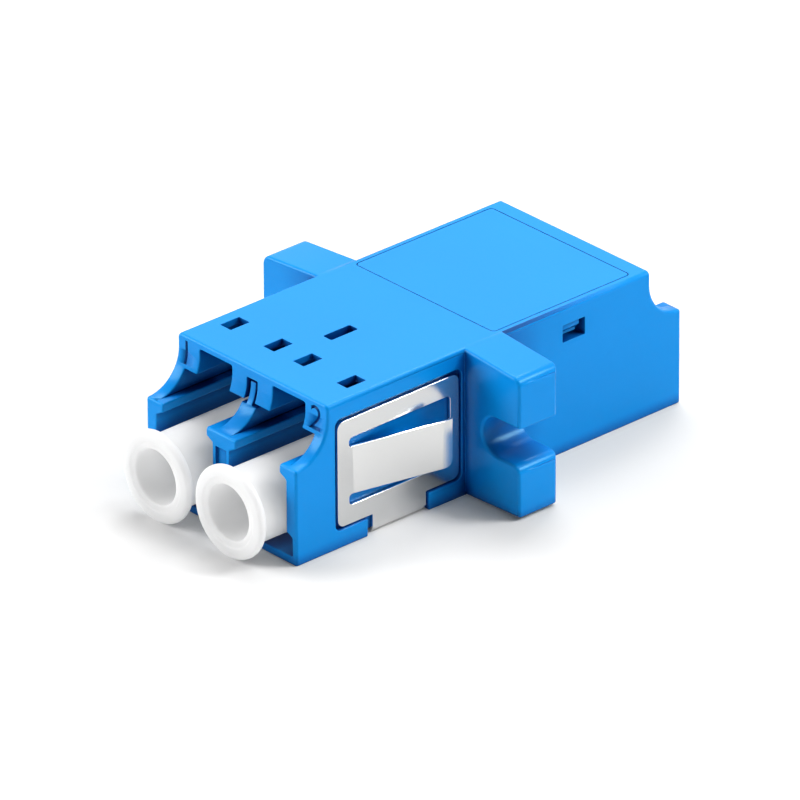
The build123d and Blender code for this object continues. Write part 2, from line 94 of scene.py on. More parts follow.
class NodeTree:
    """A thin helper that adds and links nodes of one tree in a few words."""

    def __init__(self, tree: bpy.types.NodeTree) -> None:
        """Keeps the tree.

        Args:
            tree: The shader or geometry tree to build in.
        """
        self.tree = tree

    def add(
        self, kind: str, inputs: dict[str | int, Feed] | None = None, **settings: object
    ) -> bpy.types.Node:
        """Adds a node, sets its properties, and fills or links its inputs.

        Args:
            kind: The node's type name.
            inputs: Socket name or index to what it takes.
            **settings: Properties of the node itself.

        Returns:
            The new node.
        """
        node = self.tree.nodes.new(kind)
        for name, value in settings.items():
            setattr(node, name, value)
        self.fill(node, inputs or {})
        return node

    def fill(self, node: bpy.types.Node, inputs: dict[str | int, Feed]) -> None:
        """Fills or links a node's inputs.

        Args:
            node: A node of the tree.
            inputs: Socket name or index to what it takes.
        """
        for key, value in inputs.items():
            if isinstance(value, bpy.types.NodeSocket):
                self.tree.links.new(value, node.inputs[key])
            else:
                node.inputs[key].default_value = value

    def maths(self, operation: str, *terms: Feed) -> bpy.types.NodeSocket:
        """Adds a Math node.

        Args:
            operation: The node's operation.
            *terms: A number or socket for each of its inputs.

        Returns:
            The node's output.
        """
        return self.add("ShaderNodeMath", dict(enumerate(terms)), operation=operation).outputs[0]

    def mixed(self, share: Feed, first: Feed, second: Feed) -> bpy.types.NodeSocket:
        """Blends two colours.

        Args:
            share: How much of the second colour there is.
            first: A colour with its alpha, or a socket.
            second: A colour with its alpha, or a socket.

        Returns:
            The blend.
        """
        inputs = {"Factor": share, **dict(zip(MIX_COLOURS, (first, second)))}
        return self.add("ShaderNodeMix", inputs, data_type="RGBA").outputs[MIX_RESULT]

    def effect(self, group: bpy.types.NodeTree, inputs: dict[str | int, Feed]) -> bpy.types.NodeSocket:
        """Places a shared shader group with values of its own.

        Args:
            group: The group.
            inputs: Input names and what they take.

        Returns:
            What the group puts out.
        """
        return self.add("ShaderNodeGroup", inputs, node_tree=group).outputs[0]


def emptied(owner: bpy.types.Material | bpy.types.World) -> NodeTree:
    """Gives a new material or world an empty node tree.

    Args:
        owner: The material or world.

    Returns:
        The helper of its tree.
    """
    owner.use_nodes = True
    owner.node_tree.nodes.clear()
    return NodeTree(owner.node_tree)


def shader_group(
    name: str, inputs: dict[str, float], output: str
) -> tuple[NodeTree, bpy.types.NodeOutputs, bpy.types.Node]:
    """Starts a shader node group of plain numbers with named sockets.

    Args:
        name: The group's name.
        inputs: Input names and their usual values.
        output: The name of what it puts out.

    Returns:
        The tree helper, the group's inputs by name, and the node that takes its output.
    """
    tree = bpy.data.node_groups.new(name, "ShaderNodeTree")
    for label, value in inputs.items():
        tree.interface.new_socket(label, in_out="INPUT", socket_type="NodeSocketFloat").default_value = value
    tree.interface.new_socket(output, in_out="OUTPUT", socket_type="NodeSocketFloat")
    helper = NodeTree(tree)
    return helper, helper.add("NodeGroupInput").outputs, helper.add("NodeGroupOutput")


class Effects:
    """The shader groups that several finishes share, each built once."""

    def __init__(self) -> None:
        """Builds the groups."""
        self.grain = self._grain()
        self.drift = self._drift()
        self.painted_shade = self._painted_shade()

    @staticmethod
    def _grain() -> bpy.types.NodeTree:
        """Builds the fine grain of a moulded, rolled or fired surface.

        Returns:
            A group that puts out a mask, for the height of a bump and for the roughness.
        """
        inputs = {"Scale": 6000.0, "Detail": 2.0, "Roughness": 0.6}
        tree, given, end = shader_group("Fine grain", inputs, "Grain")
        place = tree.add("ShaderNodeTexCoord").outputs["Object"]
        noise = tree.add("ShaderNodeTexNoise", {"Vector": place, **{name: given[name] for name in inputs}})
        tree.fill(end, {"Grain": noise.outputs["Fac"]})
        return tree.tree

    @staticmethod
    def _drift() -> bpy.types.NodeTree:
        """Builds the slow change of tone that a moulding or a rolled sheet has.

        Returns:
            A group that puts out a mask round one, between low and high.
        """
        tree, given, end = shader_group("Slow drift", {"Scale": 120.0, "Low": 0.97, "High": 1.03}, "Tone")
        place = tree.add("ShaderNodeTexCoord").outputs["Object"]
        noise = tree.add("ShaderNodeTexNoise", {"Vector": place, "Scale": given["Scale"], "Detail": 1.0})
        spread = tree.add("ShaderNodeMapRange", {
            "Value": noise.outputs["Fac"], "From Min": NOISE_BAND[0], "From Max": NOISE_BAND[1],
            "To Min": given["Low"], "To Max": given["High"]})
        tree.fill(end, {"Tone": spread.outputs["Result"]})
        return tree.tree

    @staticmethod
    def _painted_shade() -> bpy.types.NodeTree:
        """Builds painted shade: a darkening of the colour in a piece's own corners and slots, and in its gaps
        to other pieces, where shade falls.

        Returns:
            A group that puts out a mask of one on open faces and less where a face is closed in, for darkening
            a colour as painted shade.
        """
        inputs = {"Reach": 3.2 * MM, "Depth": 0.85, "Seam reach": 0.8 * MM, "Seam depth": 0.85}
        tree, given, end = shader_group("Painted crevice shade", inputs, "Tone")
        shade_factors = []
        for reach, depth, own in (("Reach", "Depth", True), ("Seam reach", "Seam depth", False)):
            closed = tree.add(
                "ShaderNodeAmbientOcclusion", {"Distance": given[reach]},
                samples=OCCLUSION_SAMPLES, only_local=own)
            shaded = tree.maths("SUBTRACT", 1.0, closed.outputs["AO"])
            shade_factors.append(tree.maths("SUBTRACT", 1.0, tree.maths("MULTIPLY", shaded, given[depth])))
        tree.fill(end, {"Tone": tree.maths("MULTIPLY", *shade_factors)})
        return tree.tree


@dataclass(frozen=True)
class PaintedShade:
    """Painted shade: how a finish's colour is darkened where little light comes in.

    Attributes:
        reach: How far the piece's own faces close in a corner or a slot.
        depth: How much of the tone they take.
        seam_reach: How far the faces of any piece close in a gap.
        seam_depth: How much of the tone they take.
        shade_hue: The power by which the painted shade darkens each colour channel; a higher one darkens
            sooner.
    """

    reach: float
    depth: float
    seam_reach: float
    seam_depth: float
    shade_hue: tuple[float, float, float]

    def deepened(
        self, tree: NodeTree, effects: Effects, colour: bpy.types.NodeSocket
    ) -> bpy.types.NodeSocket:
        """Darkens a colour with painted shade in corners, slots and gaps.

        Args:
            tree: The material's tree.
            effects: The shared shader groups.
            colour: The colour of the open faces.

        Returns:
            The colour with its painted shade.
        """
        mask = tree.effect(effects.painted_shade, {
            "Reach": self.reach, "Depth": self.depth,
            "Seam reach": self.seam_reach, "Seam depth": self.seam_depth,
        })
        # Each channel takes the painted shade to its own power, so the shade turns bluer as it deepens
        channels = [tree.maths("POWER", mask, power) for power in self.shade_hue]
        tone = tree.add("ShaderNodeCombineXYZ", dict(enumerate(channels))).outputs[0]
        return tree.add("ShaderNodeVectorMath", {0: colour, 1: tone}, operation="MULTIPLY").outputs[0]


@dataclass(frozen=True)
class Finish:
    """A finish of one material, with the numbers that its shader takes.

    Attributes:
        name: The material's name.
        colour: Its colour on open faces.
        roughness: The middle of its roughness.
        grain_scale: The scale of its fine grain.
        grain_height: How high the grain stands.
        roughness_spread: How much of the roughness the grain moves.
        tone_spread: The share by which its tone drifts either way.
        metallic: One for a metal.
        specular: The level of its reflections.
        specular_tint: The colour of its reflections, seen straight on.
        subsurface: The share of light that sinks in.
        subsurface_depth: How deep that light goes.
        subsurface_spread: How far each colour channel of it goes, as a share of the depth.
        glow: The share of its own colour that it gives off as painted light, though it is no lamp, standing in
            for light that soaks through a thin wall.
        painted_shade: The painted shade that darkens its colour where little light comes in, if it has any.
        cast: The colour that diffuse light takes from it, where that isn't its own: painted bounce light,
            which sets how deep and how grey the shade that it throws is.
    """

    name: str
    colour: tuple[float, float, float]
    roughness: float
    grain_scale: float
    grain_height: float
    roughness_spread: float = 0.04
    tone_spread: float = 0.02
    metallic: float = 0.0
    specular: float = 0.5
    specular_tint: tuple[float, float, float] = (1.0, 1.0, 1.0)
    subsurface: float = 0.0
    subsurface_depth: float = 0.3 * MM
    subsurface_spread: tuple[float, float, float] = (1.0, 1.0, 1.0)
    glow: float = 0.0
    painted_shade: PaintedShade | None = None
    cast: tuple[float, float, float] | None = None

    def tone(self, tree: NodeTree, effects: Effects) -> bpy.types.NodeSocket:
        """Builds the colour as it changes over the surface, with any painted shade and painted bounce colour.

        Args:
            tree: The material's tree.
            effects: The shared shader groups.

        Returns:
            The colour.
        """
        drift = tree.effect(effects.drift, {"Low": 1.0 - self.tone_spread, "High": 1.0 + self.tone_spread})
        scaled = tree.add("ShaderNodeVectorMath", {0: self.colour, "Scale": drift}, operation="SCALE")
        colour = scaled.outputs[0]
        # Painted shade: the colour darkens in corners, slots and gaps, where shade falls
        if self.painted_shade:
            colour = self.painted_shade.deepened(tree, effects, colour)
        # Painted bounce light: light bounced off the piece takes this colour instead of its own
        if self.cast:
            diffuse_ray = tree.add("ShaderNodeLightPath").outputs["Is Diffuse Ray"]
            colour = tree.mixed(diffuse_ray, colour, (*self.cast, 1.0))
        return colour

    def build(self, effects: Effects) -> bpy.types.Material:
        """Builds the material.

        Args:
            effects: The shared shader groups.

        Returns:
            A node material that reads object coordinates.
        """
        material = bpy.data.materials.new(self.name)
        material.diffuse_color = (*self.colour, 1.0)
        tree = emptied(material)
        grain = tree.effect(effects.grain, {"Scale": self.grain_scale})
        smoothest = self.roughness - self.roughness_spread / 2
        roughness = tree.maths("MULTIPLY_ADD", grain, self.roughness_spread, smoothest)
        bump = tree.add("ShaderNodeBump", {"Height": grain, "Strength": 1.0, "Distance": self.grain_height})
        shader = tree.add("ShaderNodeBsdfPrincipled", {
            "Base Color": self.tone(tree, effects), "Roughness": roughness, "Normal": bump.outputs["Normal"],
            "Metallic": self.metallic,
            "Specular IOR Level": self.specular, "Specular Tint": (*self.specular_tint, 1.0),
            "Subsurface Weight": self.subsurface, "Subsurface Scale": self.subsurface_depth,
            "Subsurface Radius": self.subsurface_spread,
            # Painted glow: the finish gives off light of its own colour, though it is no lamp
            "Emission Color": (*self.colour, 1.0), "Emission Strength": self.glow,
        })
        tree.add("ShaderNodeOutputMaterial", {"Surface": shader.outputs["BSDF"]})
        return material


BLUE_PLASTIC = Finish(
    "Sky blue moulded plastic", (0.001, 0.32, 0.92), 0.26, grain_scale=5200.0, grain_height=0.0006 * MM,
    specular=0.32, specular_tint=(0.3, 0.8, 1.0),
    # Painted shade in the housing's corners, slots and gaps, which turns bluer as it deepens
    painted_shade=PaintedShade(3.2 * MM, 0.85, seam_reach=0.8 * MM, seam_depth=0.85, shade_hue=(2.0, 1.7, 1.05)),
    # A darker grey than the blue, as painted bounce light: it deepens the shade in the ports and keeps the
    # floor's shadow grey
    cast=(0.10, 0.21, 0.34)
)
WHITE_PLASTIC = Finish(
    "Waxy white plastic", (0.73, 0.73, 0.73), 0.38, grain_scale=4200.0, grain_height=0.0006 * MM,
    # A painted glow lightens the plugs' holes and shaded sides
    tone_spread=0.008, specular=0.25, subsurface=0.9, subsurface_depth=1.8 * MM, glow=0.15
)
SPRING_STEEL = Finish(
    "Satin spring steel", (0.95, 0.95, 0.94), 0.165, grain_scale=9000.0, grain_height=0.0004 * MM,
    tone_spread=0.015, metallic=1.0
)
CERAMIC = Finish(
    "Polished white ceramic", (0.88, 0.87, 0.84), 0.12, grain_scale=9000.0, grain_height=0.0001 * MM,
    roughness_spread=0.02, tone_spread=0.004
)
FINISHES = {
    Slot.BLUE: BLUE_PLASTIC, Slot.WHITE: WHITE_PLASTIC, Slot.STEEL: SPRING_STEEL, Slot.CERAMIC: CERAMIC,
}


def link(name: str, data: bpy.types.ID) -> bpy.types.Object:
    """Makes an object of the scene.

    Args:
        name: The object's name.
        data: The mesh, curve, lamp or camera that it shows; a piece's mesh is already in place.

    Returns:
        The new object, at the origin.
    """
    piece = bpy.data.objects.new(name, data)
    bpy.context.scene.collection.objects.link(piece)
    return piece


def evaluated_mesh(piece: bpy.types.Object) -> bpy.types.Mesh:
    """Makes a plain mesh of an object, with its modifiers applied.

    Args:
        piece: A mesh or text object.

    Returns:
        The new mesh.
    """
    graph = bpy.context.evaluated_depsgraph_get()
    return bpy.data.meshes.new_from_object(piece.evaluated_get(graph), depsgraph=graph)


def apply_modifiers(piece: bpy.types.Object) -> None:
    """Turns a piece's modifiers into plain mesh and removes them.

    Args:
        piece: The piece to finish.
    """
    made = evaluated_mesh(piece)
    piece.modifiers.clear()
    piece.data = made


def shade(
    piece: bpy.types.Object, crease_from: float = math.radians(50.0), large_face_pull: int = 100
) -> None:
    """Shades a piece smooth over its roundings, with its flat faces flat.

    Args:
        piece: The piece, with nothing more to be cut or rounded.
        crease_from: The angle between faces from which an edge stays sharp.
        large_face_pull: How far large faces set the shading at their edges, up to 100.
    """
    piece.data.polygons.foreach_set("use_smooth", [True] * len(piece.data.polygons))
    piece.data.set_sharp_from_angle(angle=crease_from)
    shading = piece.modifiers.new("Shading", "WEIGHTED_NORMAL")
    shading.keep_sharp = True
    shading.weight = large_face_pull
    apply_modifiers(piece)


def declare(piece: bpy.types.Object, node: str, body: Body) -> bpy.types.Object:
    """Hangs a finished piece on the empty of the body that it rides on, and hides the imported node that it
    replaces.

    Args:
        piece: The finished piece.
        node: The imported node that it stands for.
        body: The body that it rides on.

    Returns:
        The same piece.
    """
    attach(piece, body.value)
    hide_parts(node)
    return piece


@dataclass(frozen=True)
class EdgeZone:
    """A part of a piece, the same left and right, whose edges are rounded more or less than the rest.

    Attributes:
        width: The rounding of its edges, in metres; 0 leaves them sharp.
        x: Its reach from the middle to either side, in millimetres.
        y: Its reach along the ports, in millimetres.
        z: Its reach in height, in millimetres.
    """

    width: float
    x: tuple[float, float]
    y: tuple[float, float]
    z: tuple[float, float]

    def holds(self, point: Vector) -> bool:
        """Tells whether a point lies in the zone.

        Args:
            point: A point of the piece.

        Returns:
            True when it does, on either side.
        """
        reaches = zip((abs(point.x), point.y, point.z), (self.x, self.y, self.z))
        return all(low * MM <= value <= high * MM for value, (low, high) in reaches)


@dataclass(frozen=True)
class Softening:
    """How the sharp edges of a moulded or stamped piece are softened.

    Attributes:
        width: The rounding of an edge outside every zone.
        zones: The parts of the piece with a rounding of their own.
        segments: The faces across a rounding.
        sharp_from: The angle between faces from which an edge is rounded.
        flat_within: The angle up to which faces count as one flat face.
        weld: The distance up to which corners count as one.
        flush_height: The height of a flat top, where the piece has one.
        flush_within: How near to that height a corner is put level with it.
    """

    width: float
    zones: tuple[EdgeZone, ...] = ()
    segments: int = 3
    sharp_from: float = math.radians(35.0)
    flat_within: float = math.radians(0.5)
    weld: float = 0.0002 * MM
    flush_height: float | None = None
    flush_within: float = 0.0065 * MM

    @property
    def widest(self) -> float:
        """The widest rounding of the piece, which the others are shares of."""
        return max([self.width, *(zone.width for zone in self.zones)])

    def width_at(self, point: Vector) -> float:
        """Finds the rounding that an edge gets from where it lies.

        Args:
            point: The middle of the edge.

        Returns:
            The width of the first zone that holds it, or else the piece's own.
        """
        return next((zone.width for zone in self.zones if zone.holds(point)), self.width)

    def welded_copy(self, node: str) -> bpy.types.Mesh:
        """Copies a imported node's mesh, joins its facets, and weighs its sharp edges for rounding.

        Args:
            node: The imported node's name.

        Returns:
            The new mesh.
        """
        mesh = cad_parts[node].data.copy()
        mesh.materials.clear()
        work = bmesh.new()
        work.from_mesh(mesh)
        for vert in work.verts:
            if self.flush_height is not None and abs(vert.co.z - self.flush_height) < self.flush_within:
                vert.co.z = self.flush_height
        bmesh.ops.remove_doubles(work, verts=work.verts, dist=self.weld)
        bmesh.ops.dissolve_limit(work, angle_limit=self.flat_within, verts=work.verts, edges=work.edges)
        weights = work.edges.layers.float.new("bevel_weight_edge")
        for edge in work.edges:
            if edge.is_manifold and edge.calc_face_angle() > self.sharp_from:
                edge[weights] = self.width_at((edge.verts[0].co + edge.verts[1].co) / 2) / self.widest
        work.to_mesh(mesh)
        work.free()
        return mesh

    def soften(self, piece: bpy.types.Object) -> None:
        """Rounds the piece's weighed edges for good.

        Args:
            piece: A piece with a closed mesh.
        """
        edges = piece.modifiers.new("Edges", "BEVEL")
        edges.width = self.widest
        edges.segments = self.segments
        edges.limit_method = "WEIGHT"
        edges.use_clamp_overlap = False
        edges.miter_outer = "MITER_ARC"
        apply_modifiers(piece)


@dataclass
class Dressed:
    """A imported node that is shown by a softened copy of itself."""

    node: str
    body: Body
    slot: Slot
    softening: Softening

    def make(self, materials: dict[Slot, bpy.types.Material]) -> bpy.types.Object:
        """Args:
            materials: The material of each slot.

        Returns:
            The finished piece.
        """
        piece = link(f"{self.node}_skin", self.softening.welded_copy(self.node))
        self.softening.soften(piece)
        self.carve(piece)
        shade(piece)
        piece.data.materials.clear()
        piece.data.materials.append(materials[self.slot])
        return declare(piece, self.node, self.body)

    def carve(self, piece: bpy.types.Object) -> None:
        """Adds what a node of this kind carries beyond its solid; a plain node carries nothing."""


@dataclass(frozen=True)
class Numeral:
    """A port number engraved in the end face of an outer latch block.

    Attributes:
        text: The number.
        side: The side that its block is on.
        centre_x: Its distance from the middle of the housing.
        centre_z: The height of its centre.
        height: How tall it is drawn.
        roof_y: Where the roof's front edge is, at the top of the concave end face.
        arc_radius: The radius of the end face.
        arc_top_z: The height at which the end face starts to curve forward.
        depth: How deep it is cut.
        stand_out: How far its cutter stands out of the face.
        slices: The level slices that let the cutter follow the end face.
        curve_steps: The steps in each curve of its outline.
        weld: The distance up to which corners of its outline count as one.
    """

    text: str
    side: Side
    centre_x: float
    centre_z: float = 8.3 * MM
    height: float = 1.45 * MM
    roof_y: float = -10.6 * MM
    arc_radius: float = 2.4 * MM
    arc_top_z: float = 8.5 * MM
    depth: float = 0.14 * MM
    stand_out: float = 0.5 * MM
    slices: int = 10
    curve_steps: int = 6
    weld: float = 0.0005 * MM

    def face_y(self, z: float) -> float:
        """The block's end face at a height.

        Args:
            z: The height.

        Returns:
            The y of the concave face there.
        """
        below = min(max(self.arc_top_z - z, 0.0), self.arc_radius)
        return self.roof_y - self.arc_radius + math.sqrt(self.arc_radius**2 - below**2)

    def slab(self) -> bpy.types.Mesh:
        """Draws the numeral as a slab, flat round the origin.

        Returns:
            A mesh one unit thick.
        """
        thickness = 1.0
        curve = bpy.data.curves.new("numeral", "FONT")
        curve.body = self.text
        curve.align_x = "CENTER"
        curve.align_y = "CENTER"
        curve.extrude = thickness / 2
        curve.resolution_u = self.curve_steps
        drawn = link("numeral", curve)
        mesh = evaluated_mesh(drawn)
        bpy.data.objects.remove(drawn)
        return mesh

    def cutter(self) -> bpy.types.Object:
        """Builds the solid that cuts the numeral out of the block.

        Returns:
            A closed cutter object, which the caller removes.
        """
        mesh = self.slab()
        middle = (self.depth - self.stand_out) / 2
        place = Matrix.Translation((self.side.value * self.centre_x, middle, self.centre_z))
        drawn = max(vert.co.y for vert in mesh.vertices) - min(vert.co.y for vert in mesh.vertices)
        size = self.height / drawn
        scale = Matrix.Diagonal((size, size, self.depth + self.stand_out, 1.0))
        mesh.transform(place @ Matrix.Rotation(math.pi / 2, 4, "X") @ scale)
        work = bmesh.new()
        work.from_mesh(mesh)
        bmesh.ops.remove_doubles(work, verts=work.verts, dist=self.weld)
        for step in range(1, self.slices):
            z = self.centre_z + self.height * (step / self.slices - 0.5)
            everything = [*work.verts, *work.edges, *work.faces]
            bmesh.ops.bisect_plane(work, geom=everything, plane_co=(0, 0, z), plane_no=(0, 0, 1))
        for vert in work.verts:
            vert.co.y += self.face_y(vert.co.z)
        bmesh.ops.triangulate(work, faces=work.faces)
        bmesh.ops.recalc_face_normals(work, faces=work.faces)
        work.to_mesh(mesh)
        work.free()
        return link("numeral_cutter", mesh)


HOUSING_ZONES = (
    # The corners where the ears' front and rear faces meet the body's upper and lower edges
    EdgeZone(0.0, (6.1, 6.5), (-0.1, 0.3), (9.05, 9.5)),
    EdgeZone(0.0, (6.1, 6.5), (2.8, 3.1), (9.05, 9.5)),
    EdgeZone(0.0, (6.1, 6.5), (-0.3, 0.3), (-0.1, 0.35)),
    EdgeZone(0.0, (6.1, 6.5), (2.8, 3.1), (-0.1, 0.35)),
    # The rim round the rear cover, and the windows for the cover's hooks
    EdgeZone(0.02 * MM, (0.0, 6.1), (2.5, 13.8), (8.8, 9.5)),
    EdgeZone(0.05 * MM, (5.4, 6.6), (7.4, 9.6), (7.0, 8.4)),
    # The windows in the roof
    EdgeZone(0.03 * MM, (0.0, 6.1), (-9.0, 2.0), (8.8, 9.5)),
    # The middle latch block, and the panel in the front of the wall between the ports
    EdgeZone(0.05 * MM, (0.0, 0.66), (-13.1, -9.0), (7.0, 8.9)),
    EdgeZone(0.03 * MM, (0.0, 0.7), (-13.1, -12.8), (0.5, 5.5)),
    # The recesses that the clip lies in
    EdgeZone(0.06 * MM, (5.5, 6.5), (-10.2, 0.0), (-0.1, 8.5)),
)


@dataclass
class Housing(Dressed):
    """The moulded housing with its port numbers."""

    node: str = "housing"
    body: Body = Body.ADAPTER
    slot: Slot = Slot.BLUE
    softening: Softening = Softening(0.09 * MM, HOUSING_ZONES, flush_height=9.4 * MM)
    numerals: tuple[Numeral, ...] = (
        Numeral("1", Side.LEFT, centre_x=5.63 * MM), Numeral("2", Side.RIGHT, centre_x=5.47 * MM))

    def carve(self, piece: bpy.types.Object) -> None:
        """Engraves the port numbers.

        Args:
            piece: The softened housing.
        """
        for numeral in self.numerals:
            cutter = numeral.cutter()
            cut = piece.modifiers.new("Numeral", "BOOLEAN")
            cut.operation = "DIFFERENCE"
            cut.solver = "EXACT"
            cut.object = cutter
            apply_modifiers(piece)
            bpy.data.objects.remove(cutter)


@dataclass(frozen=True)
class PlugTurning:
    """The sizes of a dust plug, turned round its own axis, and the node tree that turns it.

    Attributes:
        step_radius: The radius inside which the flange's face is sunk.
        hole_radius: The radius of the blind hole at its mouth, which narrows by the taper to its bottom.
        socket_radius: The radius of the hole in the inner end.
        segments: The faces round the plug.
        rounding_steps: The faces across a rounded corner.
        turning_radius: The ring that the section is swept round, too small to see.
        weld: The distance up to which points count as one, so that the axis is closed.
    """

    flange_radius: float = 2.87 * MM
    flange_thickness: float = 0.55 * MM
    rim_rounding: float = 0.24 * MM
    step_radius: float = 2.2 * MM
    step_depth: float = 0.06 * MM
    step_slope: float = 0.1 * MM
    hole_radius: float = 1.72 * MM
    hole_taper: float = 0.25 * MM
    hole_depth: float = 8.6 * MM
    shaft_radius: float = 2.3 * MM
    neck_rounding: float = 0.3 * MM
    socket_radius: float = 1.68 * MM
    socket_depth: float = 4.6 * MM
    edge_rounding: float = 0.12 * MM
    length: float = 14.765 * MM
    segments: int = 96
    rounding_steps: int = 5
    turning_radius: float = 1e-7
    weld: float = 0.001 * MM

    def sizes(self) -> dict[str, float]:
        """Names the sizes that the node tree takes.

        Returns:
            Input names and their values in metres.
        """
        return {
            "Flange radius": self.flange_radius, "Flange thickness": self.flange_thickness,
            "Rim rounding": self.rim_rounding,
            "Step radius": self.step_radius, "Step depth": self.step_depth, "Step slope": self.step_slope,
            "Hole radius": self.hole_radius, "Hole taper": self.hole_taper, "Hole depth": self.hole_depth,
            "Shaft radius": self.shaft_radius, "Neck rounding": self.neck_rounding,
            "Socket radius": self.socket_radius, "Socket depth": self.socket_depth,
            "Edge rounding": self.edge_rounding, "Length": self.length,
        }

    @staticmethod
    def corners(tree: NodeTree, size: bpy.types.NodeOutputs) -> list[tuple[Feed, Feed, Feed]]:
        """Works out the half section's corners, from the bottom of the hole round to the end of the socket.

        Args:
            tree: The tree that works them out.
            size: The tree's inputs by name.

        Returns:
            Radius, height above the plug's inner end, and rounding of each corner.
        """
        mouth, shaft = size["Length"], size["Shaft radius"]
        edge, rim = size["Edge rounding"], size["Rim rounding"]
        step = tree.maths("SUBTRACT", mouth, size["Step depth"])
        slope = tree.maths("SUBTRACT", size["Step radius"], size["Step slope"])
        bottom = tree.maths("SUBTRACT", mouth, size["Hole depth"])
        narrow = tree.maths("SUBTRACT", size["Hole radius"], size["Hole taper"])
        back = tree.maths("SUBTRACT", mouth, size["Flange thickness"])
        return [
            (0.0, bottom, 0.0), (narrow, bottom, edge), (size["Hole radius"], step, edge),
            (slope, step, edge), (size["Step radius"], mouth, edge), (size["Flange radius"], mouth, rim),
            (size["Flange radius"], back, rim), (shaft, back, size["Neck rounding"]), (shaft, 0.0, edge),
            (size["Socket radius"], 0.0, edge), (size["Socket radius"], size["Socket depth"], edge),
            (0.0, size["Socket depth"], 0.0),
        ]

    @staticmethod
    def picked(tree: NodeTree, kind: str, values: list[Feed]) -> bpy.types.NodeSocket:
        """Gives each corner its own value by its number.

        Args:
            tree: The tree to build in.
            kind: The values' data type.
            values: One number or socket for each corner.

        Returns:
            The field of those values.
        """
        switch = tree.add("GeometryNodeIndexSwitch", data_type=kind)
        while len(switch.index_switch_items) < len(values):
            switch.index_switch_items.new()
        number = tree.add("GeometryNodeInputIndex").outputs[0]
        tree.fill(switch, dict(enumerate([number, *values])))
        return switch.outputs[0]

    def section(self, tree: NodeTree, size: bpy.types.NodeOutputs) -> bpy.types.NodeSocket:
        """Draws the half section, with its corners rounded.

        Args:
            tree: The tree to build in.
            size: The tree's inputs by name.

        Returns:
            The section as a curve, its radius along x and its height down y.
        """
        corners = self.corners(tree, size)
        places = []
        for radius, height, _ in corners:
            place = {"X": radius, "Y": tree.maths("MULTIPLY", height, -1.0)}
            places.append(tree.add("ShaderNodeCombineXYZ", place).outputs[0])
        roundings = self.picked(tree, "FLOAT", [rounding for _, _, rounding in corners])
        line = tree.add("GeometryNodeMeshLine", {"Count": len(corners)})
        sharp = tree.add("GeometryNodeSetPosition", {
            "Geometry": line.outputs[0], "Position": self.picked(tree, "VECTOR", places)})
        sharp = tree.add("GeometryNodeMeshToCurve", {"Mesh": sharp.outputs[0]})
        return tree.add("GeometryNodeFilletCurve", {
            "Curve": sharp.outputs[0], "Radius": roundings, "Limit Radius": True,
            "Count": self.rounding_steps}, mode="POLY").outputs[0]

    @cache
    def tree(self) -> bpy.types.NodeTree:
        """Builds the tree that turns the half section into a plug in its port, once for all plugs.

        Returns:
            A geometry tree whose named inputs are the sizes, the segments, the droop, the inner end's
            place and the finish.
        """
        group = bpy.data.node_groups.new("Dust plug", "GeometryNodeTree")
        kinds = {
            **dict.fromkeys(self.sizes(), "Float"), "Droop": "Float", "Segments": "Int",
            "Inner end": "Vector", "Finish": "Material",
        }
        for label, kind in kinds.items():
            group.interface.new_socket(label, in_out="INPUT", socket_type=f"NodeSocket{kind}")
        group.interface.new_socket("Plug", in_out="OUTPUT", socket_type="NodeSocketGeometry")
        tree = NodeTree(group)
        given = tree.add("NodeGroupInput").outputs
        ring = tree.add("GeometryNodeCurvePrimitiveCircle", {
            "Resolution": given["Segments"], "Radius": self.turning_radius})
        solid = tree.add("GeometryNodeCurveToMesh", {
            "Curve": ring.outputs[0], "Profile Curve": self.section(tree, given)})
        solid = tree.add("GeometryNodeMergeByDistance", {
            "Geometry": solid.outputs[0], "Distance": self.weld})
        tilt = tree.add("ShaderNodeCombineXYZ", {"X": tree.maths("ADD", given["Droop"], math.pi / 2)})
        tilt = tree.add("FunctionNodeEulerToRotation", {"Euler": tilt.outputs[0]})
        solid = tree.add("GeometryNodeTransform", {
            "Geometry": solid.outputs[0], "Rotation": tilt.outputs[0], "Translation": given["Inner end"]})
        solid = tree.add("GeometryNodeRealizeInstances", {"Geometry": solid.outputs[0]})
        solid = tree.add("GeometryNodeSetMaterial", {
            "Geometry": solid.outputs[0], "Material": given["Finish"]})
        tree.add("NodeGroupOutput", {"Plug": solid.outputs[0]})
        return group


@dataclass
class DustPlug:
    """One dust plug in its port.

    Attributes:
        side: The port that it is in.
        body: The body that it rides on.
        droop: The little turn that its play allows; below zero its face tips up.
        turning: Its shape.
        port_x: The port's distance from the middle of the housing.
        inner_y: Where the plug's inner end is along the port.
        axis_z: The height of the port's axis.
    """

    side: Side
    body: Body
    droop: float
    turning: PlugTurning = PlugTurning()
    port_x: float = 3.125 * MM
    inner_y: float = -0.59 * MM
    axis_z: float = 2.95 * MM

    def make(self, materials: dict[Slot, bpy.types.Material]) -> bpy.types.Object:
        """Args:
            materials: The material of each slot.

        Returns:
            The finished piece.
        """
        node = f"dust_plug_{self.side.word}"
        piece = link(f"{node}_skin", bpy.data.meshes.new(node))
        turned = piece.modifiers.new("Turning", "NODES")
        turned.node_group = self.turning.tree()
        values = {
            **self.turning.sizes(), "Droop": self.droop, "Segments": self.turning.segments,
            "Inner end": (self.side.value * self.port_x, self.inner_y, self.axis_z),
            "Finish": materials[Slot.WHITE],
        }
        for item in turned.node_group.interface.items_tree:
            if item.in_out == "INPUT":
                turned[item.identifier] = values[item.name]
        apply_modifiers(piece)
        shade(piece)
        return declare(piece, node, self.body)


